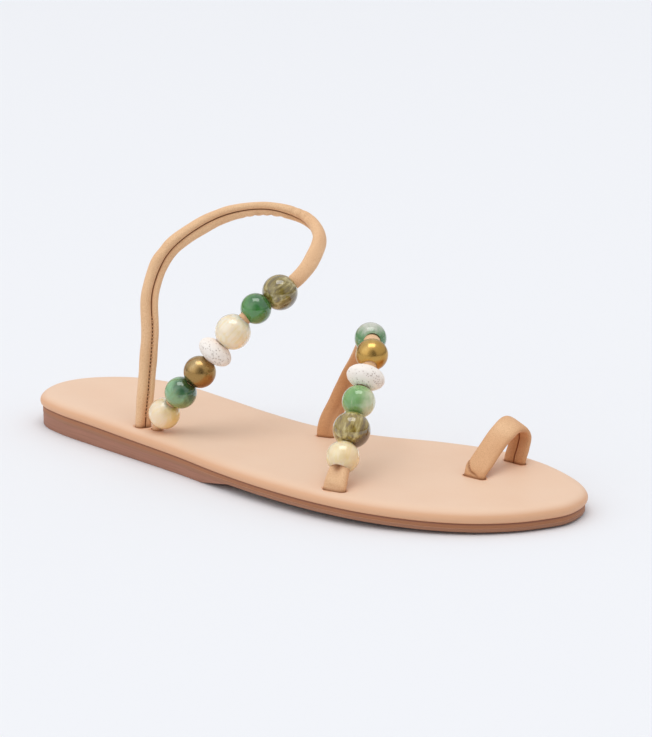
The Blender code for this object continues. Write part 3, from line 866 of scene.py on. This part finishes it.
# Toe ring: a short flat loop of the same strip over the big toe, with both ends in footbed slots. Its
# slit shows on the inner face, and at the outer slot one corner of the strip is folded under.
RING_ROUTE = (
    Bend(204.4, 7.2, 7.1, 9.3, 2.8, 0.0, -1.0, 0.0, 0),
    Bend(204.4, 7.6, 10.9, 9.3, 2.8, 0.1, -0.9, 0.3, 0),
    Bend(204.8, 11.4, 14.3, 9.3, 2.8, 0.2, -0.7, 0.7, 0),
    Bend(205.0, 17.2, 18.6, 9.3, 2.8, 0.2, -0.7, 0.7, 0),
    Bend(205.2, 24.2, 22.9, 9.3, 2.8, 0.3, -0.5, 0.8, 0),
    Bend(205.3, 30.3, 24.7, 9.3, 2.8, 0.4, 0.0, 0.9, 0),
    Bend(205.4, 34.4, 22.9, 9.3, 2.8, 0.3, 0.7, 0.7, 0),
    Bend(205.5, 35.4, 19.4, 9.3, 2.8, 0.0, 1.0, 0.1, 0),
    Bend(205.5, 34.2, 15.0, 9.3, 2.8, 0.0, 1.0, -0.2, 0),
    Bend(205.4, 32.2, 10.6, 9.3, 2.8, 0.0, 1.0, -0.1, 0),
    Bend(205.4, 32.0, 7.1, 9.3, 2.8, 0.0, 1.0, 0.0, 0),
)
RING_STEP = 0.3
# Painted shade on the toe ring's faces.
RING_PAINTED_SHADE = (0.7, 0.15)
RING_CREASES = (
    # Painted shade in the fold of the corner that is folded under.
    Crease(5.4, 215, 1.0, 0.26, 45, 5.0, 1.0),
    Crease(3.2, 245, 0.5, 1.8, 35, 3.0, 0),
    # Painted highlight: the crown of the ring is painted paler.
    Crease(26, 180, -0.2, 5.0, 60, 0, -0.5),
)
ring_rows = strap_rows(RING_ROUTE, RING_STEP, RING_CREASES, RING_PAINTED_SHADE)
add_strap(ring_rows, "toe_ring_folded", "toe_ring")

# Jade beads: four balls of polished green stone with darker patches and pale washes, drilled through
# and threaded on the cord ends of the straps, rim against rim with their neighbours. On three of them
# the pale wash is painted light: a highlight on top of the first forefoot bead, and the footbed's tan
# reflected on the lower side of the two ankle beads.
Bead = namedtuple("Bead", "node diameter length start end base pale pale_way deep deep_way")
JADE_BEADS = (
    # pale: painted reflection of the tan footbed on the lower side
    Bead("ankle_bead_2_jade", 12.1, 11.9, 5.0, 5.0,
         (64, 136, 56), (78, 118, 40), (0.5, 0.1, -0.8), (28, 98, 46), (0.4, 0.2, 0.7)),
    # pale: painted reflection of the tan footbed on the lower side
    Bead("ankle_bead_6_jade", 12.6, 12.4, 3.6, 3.6,
         (126, 178, 128), (126, 132, 56), (0.2, -0.4, -0.8), (34, 90, 50), (0.9, 0.1, 0.6)),
    # pale: painted highlight on the top
    Bead("forefoot_bead_1_jade", 12.2, 12.0, 6.2, 6.2,
         (76, 138, 72), (200, 202, 188), (-0.3, 0.4, 1.2), (50, 120, 62), (0.6, 0.3, -0.5)),
    Bead("forefoot_bead_4_jade", 12.6, 12.4, 5.0, 5.0,
         (136, 182, 104), (208, 212, 178), (1.2, 0.4, -0.2), (102, 158, 84), (0.0, -0.6, 0.3)),
)
BEAD_SEGMENTS = 72
BEAD_ARC_STEPS = 44
BEAD_SEAT = 0.4
RIM_ROUND = 0.2
RIM_ANGLE = 30.0
THREAD_STEP = 0.2


def bead_frame(bead):
    """Place and turn of a bead: its middle from the solid, its axis along the strap it is strung on."""
    route = ANKLE_ROUTE if bead.node.startswith("ankle") else FOREFOOT_ROUTE
    thread = np.array([sandal_point(*row[:3]) for row in read_route(route, THREAD_STEP)])
    low, high = (Vector(corner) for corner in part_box(bead.node))
    middle = (low + high) / 2
    index = int(np.argmin(np.linalg.norm(thread - np.array(middle), axis=1)))
    reach = int(BEAD_SEAT * bead.length / THREAD_STEP)
    axis = Vector(thread[index + reach] - thread[index - reach])
    return Matrix.Translation(middle) @ Vector((0, 0, 1)).rotation_difference(axis).to_matrix().to_4x4()


def turned_bead(bead, segments, arc_steps):
    """A bead on the z axis: its half section spun round, with the rims of its hole rounded."""
    bm = bmesh.new()
    first = math.asin(bead.end / bead.diameter)
    last = math.pi - math.asin(bead.start / bead.diameter)
    profile = []
    for k in range(arc_steps + 1):
        angle = first + (last - first) * k / arc_steps
        radius = bead.diameter / 2 * math.sin(angle) * MM
        profile.append(bm.verts.new((radius, 0, bead.length / 2 * math.cos(angle) * MM)))
    edges = [bm.edges.new(pair) for pair in zip(profile, profile[1:] + profile[:1])]
    turn = {"axis": (0, 0, 1), "angle": 2 * math.pi, "steps": segments, "use_merge": True}
    bmesh.ops.spin(bm, geom=profile + edges, **turn)
    bmesh.ops.recalc_face_normals(bm, faces=bm.faces)
    rims = [edge for edge in bm.edges if edge.calc_face_angle() > math.radians(RIM_ANGLE)]
    rounding = {"offset": RIM_ROUND * MM, "segments": 3, "profile": 0.5}
    bmesh.ops.bevel(bm, geom=rims, affect="EDGES", material=-1, **rounding)
    return bm


def lean_towards(tree, place, way):
    """How far a place lies along a direction."""
    inputs = {0: place, 1: way}
    return add_node(tree, "ShaderNodeVectorMath", inputs, operation="DOT_PRODUCT").outputs["Value"]


def swirl_group():
    """Stone and glass: cloudy swirls, streaks along the bore, and a wash that gathers on one side."""
    inputs = dict.fromkeys(("Ball", "Bore", "Pale Way", "Deep Way"), "Vector")
    tree, source, target = new_group("bead_swirl", inputs, ("Clouds", "Streaks", "Pale", "Deep"))
    ball = source["Ball"]
    clouds = add_noise(tree, ball, 1.3, Detail=3.0, Roughness=0.5, Distortion=0.9)
    inputs = {"Vector": source["Bore"], "Scale": (4.6, 4.6, 0.25)}
    drawn = add_node(tree, "ShaderNodeMapping", inputs).outputs[0]
    streaks = add_noise(tree, drawn, 1.0, Detail=3.0, Roughness=0.55, Distortion=0.15)
    spread = add_math(tree, "MULTIPLY", add_math(tree, "SUBTRACT", clouds, 0.5), 1.5)
    found = {"Clouds": clouds, "Streaks": streaks}
    for name in ("Pale", "Deep"):
        lean = lean_towards(tree, ball, source[name + " Way"])
        found[name] = grade(tree, add_math(tree, "ADD", lean, spread), 0.0, 1.0)
    set_inputs(tree, target, found)
    return tree


bead_swirl = swirl_group()


def bead_patterns(tree, bead, place):
    """The swirl group on one bead, centred on the bead and scaled to its radius."""
    size = 2 / (bead.diameter * MM)
    turn = place.to_quaternion().inverted().to_euler()
    ball = add_node(tree, "ShaderNodeMapping", {
        "Vector": object_coordinates(tree),
        "Location": tuple(-size * place.translation),
        "Scale": (size, size, size),
    }).outputs[0]
    bore = add_node(tree, "ShaderNodeMapping", {"Vector": ball, "Rotation": turn}).outputs[0]
    inputs = {"Ball": ball, "Bore": bore, "Pale Way": bead.pale_way, "Deep Way": bead.deep_way}
    return use_group(tree, bead_swirl, inputs)


def washed_colour(tree, bead, patterns):
    """Colour of a bead with its pale and its deep wash."""
    colour = mix_colour(tree, patterns["Pale"], paint(bead.base), paint(bead.pale))
    return mix_colour(tree, patterns["Deep"], colour, paint(bead.deep))


def jade_material(bead, place):
    """Polished green stone, pale on one side and deep on the other; on three beads the pale side is
    painted light, a highlight on top or the footbed's tan reflected on the lower side.
    """
    material, tree, shader = new_material(bead.node + "_stone")
    patterns = bead_patterns(tree, bead, place)
    colour = washed_colour(tree, bead, patterns)
    faint = grade(tree, patterns["Streaks"], 0.5, 0.72, 0.0, 0.3)
    colour = mix_colour(tree, faint, colour, paint(bead.pale))
    set_inputs(tree, shader, {
        "Base Color": colour,
        "Roughness": 0.1,
        "IOR": 1.65,
        "Coat Weight": 0.9,
        "Coat Roughness": 0.03,
        "Subsurface Weight": 0.2,
        "Subsurface Radius": (1.0, 1.0, 1.0),
        "Subsurface Scale": 0.002,
    })
    return material


def add_bead(bead, kind, bead_material, segments=BEAD_SEGMENTS, arc_steps=BEAD_ARC_STEPS, shape=None):
    """One finished bead where its solid is."""
    place = bead_frame(bead)
    bm = turned_bead(bead, segments, arc_steps)
    if shape:
        shape(bm, bead)
    bmesh.ops.transform(bm, matrix=place, verts=bm.verts)
    add_piece(bm, bead.node + "_turned", bead_material(bead, place), kind, bead.node)


for bead in JADE_BEADS:
    add_bead(bead, "jade", jade_material)

# Olive glass beads: two larger balls of clear olive-brown glass, drawn with beige feathered streaks
# that run along the bore, strung like the jade ones.
OLIVE_BEADS = (
    Bead("ankle_bead_1_olive_glass", 14.0, 13.8, 6.6, 5.0,
         (142, 124, 46), (204, 188, 128), (-0.5, -0.2, 0.4), (84, 64, 14), (0.5, 0.3, -0.7)),
    Bead("forefoot_bead_5_olive_glass", 14.2, 13.8, 5.0, 5.0,
         (160, 136, 52), (214, 196, 126), (-0.7, -0.4, 0.1), (78, 46, 6), (0.6, 0.3, -1.2)),
)
# Painted rim light: the colour that the outline of an olive bead is mixed toward.
OLIVE_PAINTED_RIM_LIGHT = (142, 132, 88)


def olive_material(bead, place):
    """Clear olive glass with dark and pale feathered streaks, and a painted rim light that makes its
    outline paler.
    """
    material, tree, shader = new_material(bead.node + "_glass")
    patterns = bead_patterns(tree, bead, place)
    feathers = grade(tree, patterns["Streaks"], 0.5, 0.62)
    clear = add_math(tree, "SUBTRACT", 0.85, add_math(tree, "MULTIPLY", patterns["Deep"], 0.8))
    colour = mix_colour(tree, patterns["Deep"], paint(bead.base), paint(bead.deep))
    shade = grade(tree, patterns["Streaks"], 0.48, 0.38, 0.0, 0.6)
    colour = mix_colour(tree, shade, colour, paint(bead.deep))
    colour = mix_colour(tree, add_math(tree, "MULTIPLY", feathers, clear), colour, paint(bead.pale))
    # painted rim light: the outline is mixed toward a pale colour where the surface turns away from
    # view
    rim = add_node(tree, "ShaderNodeLayerWeight", {"Blend": 0.35}).outputs["Facing"]
    colour = mix_colour(tree, add_math(tree, "MULTIPLY", rim, 0.1), colour, paint(OLIVE_PAINTED_RIM_LIGHT))
    set_inputs(tree, shader, {
        "Base Color": colour,
        "Roughness": 0.07,
        "IOR": 1.7,
        "Transmission Weight": 0.12,
        "Coat Weight": 1.0,
        "Coat Roughness": 0.02,
    })
    return material


for bead in OLIVE_BEADS:
    add_bead(bead, "olive_glass", olive_material)

# Cream glass beads: three balls of milky glass, pale at the face and amber where the light comes
# through the lower side, strung like the others.
CREAM_BEADS = (
    Bead("ankle_bead_3_cream_glass", 14.0, 13.8, 5.0, 5.0,
         (255, 228, 202), (255, 240, 226), (-0.4, 0.0, 0.6), (254, 224, 196), (0.6, 0.2, -0.6)),
    Bead("ankle_bead_7_cream_glass", 12.4, 12.2, 3.6, 5.0,
         (254, 216, 182), (255, 232, 212), (-0.5, -0.2, 0.4), (248, 204, 126), (0.9, 0.5, -0.2)),
    Bead("forefoot_bead_6_cream_glass", 12.6, 12.2, 5.0, 6.6,
         (255, 214, 168), (255, 230, 198), (-0.4, -0.2, 0.5), (253, 210, 164), (0.8, 0.4, -0.4)),
)
CREAM_STRIPE = (248, 208, 138)


def cream_material(bead, place):
    """Milky glass, clouded inside, with faint stripes along the bore."""
    material, tree, shader = new_material(bead.node + "_glass")
    patterns = bead_patterns(tree, bead, place)
    colour = washed_colour(tree, bead, patterns)
    stripes = grade(tree, patterns["Streaks"], 0.46, 0.6, 0.0, 0.4)
    colour = mix_colour(tree, stripes, colour, paint(CREAM_STRIPE))
    set_inputs(tree, shader, {
        "Base Color": colour,
        "Roughness": 0.08,
        "IOR": 1.8,
        "Coat Weight": 1.0,
        "Coat Roughness": 0.03,
        "Subsurface Weight": 0.8,
        "Subsurface Radius": (1.0, 0.85, 0.6),
        "Subsurface Scale": 0.006,
    })
    return material


for bead in CREAM_BEADS:
    add_bead(bead, "cream_glass", cream_material)

# Lava stone beads: two flat rounds of matt white stone, ground smooth but left full of the small open
# pits that the stone has by nature, more of them on the lower side.
LAVA_TONES = ((250, 241, 232), (255, 249, 242), (0, 0, 1), (150, 124, 104), (0.3, -0.4, -0.8))
LAVA_BEADS = (
    Bead("ankle_bead_4_lava_stone", 14.2, 8.6, 5.0, 5.0, *LAVA_TONES),
    Bead("forefoot_bead_3_lava_stone", 14.6, 8.8, 5.0, 5.0, *LAVA_TONES),
)
LAVA_SEGMENTS = 200
LAVA_ARC_STEPS = 100
PIT_COUNT = 260
PIT_LEAN = 0.7
PIT_RADIUS_LOW = 0.10
PIT_RADIUS_HIGH = 0.26
PIT_DEPTH = 0.4
LAVA_UNEVEN = 0.10
LAVA_UNEVEN_SCALE = 0.9


def pit_surface(bm, bead):
    """Sink round pits into a bead at scattered places, and keep how deep each point lies."""
    pitted = bm.verts.layers.float.new("pit")
    scatter = np.random.default_rng(len(bead.node))
    low_side = bead_frame(bead).to_quaternion().inverted() @ Vector(bead.deep_way)
    ways = scatter.normal(size=(PIT_COUNT, 3)) + PIT_LEAN * np.array(low_side)
    ways /= np.linalg.norm(ways, axis=1)[:, None]
    radii = scatter.uniform(PIT_RADIUS_LOW, PIT_RADIUS_HIGH, PIT_COUNT)
    centres = ways * np.array((bead.diameter, bead.diameter, bead.length)) / 2
    places = np.array([vert.co for vert in bm.verts]) / MM
    nearest = np.full(len(places), np.inf)
    for centre, radius in zip(centres, radii):
        nearest = np.minimum(nearest, np.linalg.norm(places - centre, axis=1) / radius)
    for vert, depth in zip(bm.verts, np.clip(1 - nearest**2, 0, 1)):
        uneven = LAVA_UNEVEN * noise.noise(vert.co / MM * LAVA_UNEVEN_SCALE)
        vert[pitted] = depth
        vert.co -= vert.co.normalized() * (PIT_DEPTH * depth + uneven) * MM


def lava_material(bead, place):
    """Matt white stone, grey-brown down in its pits."""
    material, tree, shader = new_material(bead.node + "_stone")
    patterns = bead_patterns(tree, bead, place)
    colour = mix_colour(tree, patterns["Clouds"], paint(bead.base), paint(bead.pale))
    pits = add_math(tree, "POWER", surface_value(tree, "pit"), 0.7, clamp=True)
    colour = mix_colour(tree, add_math(tree, "MULTIPLY", pits, 0.7), colour, paint(bead.deep))
    grain = add_noise(tree, object_coordinates(tree), 3000.0, Detail=3.0)
    relief = add_bump(tree, grain, 0.4, 0.0002)
    set_inputs(tree, shader, {"Base Color": colour, "Roughness": 0.85, "Normal": relief})
    return material


for bead in LAVA_BEADS:
    add_bead(bead, "lava_stone", lava_material, LAVA_SEGMENTS, LAVA_ARC_STEPS, pit_surface)

# Gold beads: two hollow balls plated in antique gold and polished, with a painted highlight that makes
# the upper side paler and painted shade that makes the lower side browner.
GOLD_BEADS = (
    # pale: painted highlight on the upper side; deep: painted shade on the lower side
    Bead("ankle_bead_5_gold", 12.6, 12.4, 5.0, 3.6,
         (166, 132, 80), (200, 178, 136), (-0.5, 0.0, 0.7), (150, 100, 56), (0.3, 0.1, -0.9)),
    Bead("forefoot_bead_2_gold", 12.3, 12.1, 5.0, 5.0,
         (194, 154, 84), (214, 180, 112), (-0.5, 0.0, 0.7), (176, 122, 56), (0.3, 0.1, -0.9)),
)


def gold_material(bead, place):
    """Antique gold plating with faint rub marks, painted paler on top as a highlight and browner below
    as shade.
    """
    material, tree, shader = new_material(bead.node + "_plating")
    patterns = bead_patterns(tree, bead, place)
    colour = washed_colour(tree, bead, patterns)
    rubbed = grade(tree, patterns["Streaks"], 0.3, 0.7, 0.2, 0.28)
    set_inputs(tree, shader, {"Base Color": colour, "Roughness": rubbed, "Metallic": 1.0})
    return material


for bead in GOLD_BEADS:
    add_bead(bead, "gold", gold_material)

# Studio: a pale paper floor, one large softbox high overhead, and a pale surround that is darker along
# the ground and in front, and has a soft glow from the left of the view.
FLOOR_SIZE = 8.0
FLOOR_PALE = (238, 240, 244)
SURROUND = (1.0, 1.0, 1.01, 1.0)
HORIZON_STRENGTH = 0.68
ZENITH_STRENGTH = 0.83
LOW_BAND = 0.2
LOW_SHARE = 0.3
DIM_SHARE = 0.3
DIM_FROM = 0.78
DIM_FULL = 0.93
GLOW_WAY = Vector((-0.20, -0.93, 0.30))
GLOW_FROM = 0.5
GLOW_STRENGTH = 0.5
CAMERA_PLACE = Vector((0.7662, -0.9522, 0.3735))
CAMERA_AIM = Vector((0.0064, 0.0120, 0.0383))
CAMERA_LENS = 161.5
SOFTBOX_HEIGHT = 6.0
SOFTBOX_LEAN = 0.11
SOFTBOX_WIDE = 0.7
SOFTBOX_DEEP = 0.5
SOFTBOX_POWER = 94.0


def floor_material():
    """Plain pale paper with a faint grain."""
    material, tree, shader = new_material("floor_paper")
    grain = add_noise(tree, object_coordinates(tree), 900.0, Detail=2.0)
    set_inputs(tree, shader, {
        "Base Color": paint(FLOOR_PALE),
        "Roughness": 0.9,
        "Specular IOR Level": 0.1,
        "Normal": add_bump(tree, grain, 0.05, 0.0001),
    })
    return material


floor_mesh = bmesh.new()
bmesh.ops.create_grid(floor_mesh, x_segments=1, y_segments=1, size=FLOOR_SIZE)
floor = mesh_object(floor_mesh, "floor")
floor.data.materials.append(floor_material())

scene = bpy.context.scene
scene.view_settings.view_transform = "Standard"
towards_camera = (CAMERA_PLACE - CAMERA_AIM).normalized()
world = bpy.data.worlds.new("studio")
world.use_nodes = True
surround = world.node_tree
way = object_coordinates(surround)
height = add_node(surround, "ShaderNodeSeparateXYZ", {0: way}).outputs["Z"]
in_front = lean_towards(surround, way, towards_camera)
to_left = lean_towards(surround, way, GLOW_WAY)
sky = grade(surround, height, 0.0, 1.0, HORIZON_STRENGTH, ZENITH_STRENGTH)
sky = add_math(surround, "MULTIPLY", sky, grade(surround, height, 0.0, LOW_BAND, LOW_SHARE, 1.0))
dim = grade(surround, in_front, DIM_FROM, DIM_FULL, 1.0, DIM_SHARE)
glow = grade(surround, to_left, GLOW_FROM, 1.0, 0.0, GLOW_STRENGTH)
strength = add_math(surround, "ADD", add_math(surround, "MULTIPLY", sky, dim), glow)
set_inputs(surround, surround.nodes["Background"], {"Color": SURROUND, "Strength": strength})
scene.world = world

softbox_light = bpy.data.lights.new("softbox", "AREA")
softbox_light.shape = "RECTANGLE"
softbox_light.size = SOFTBOX_WIDE * SOFTBOX_HEIGHT
softbox_light.size_y = SOFTBOX_DEEP * SOFTBOX_HEIGHT
softbox_light.energy = SOFTBOX_POWER
softbox = bpy.data.objects.new("softbox", softbox_light)
lean = SOFTBOX_LEAN * SOFTBOX_HEIGHT * Vector((towards_camera.x, towards_camera.y, 0)).normalized()
softbox.location = lean + Vector((0, 0, SOFTBOX_HEIGHT))
softbox.rotation_euler = (0, 0, math.atan2(towards_camera.x, -towards_camera.y))
softbox.visible_camera = False
scene.collection.objects.link(softbox)

camera_data = bpy.data.cameras.new("camera")
camera_data.lens = CAMERA_LENS
camera = bpy.data.objects.new("camera", camera_data)
camera.location = CAMERA_PLACE
camera.rotation_euler = (CAMERA_AIM - CAMERA_PLACE).to_track_quat("-Z", "Y").to_euler()
scene.collection.objects.link(camera)
scene.camera = camera
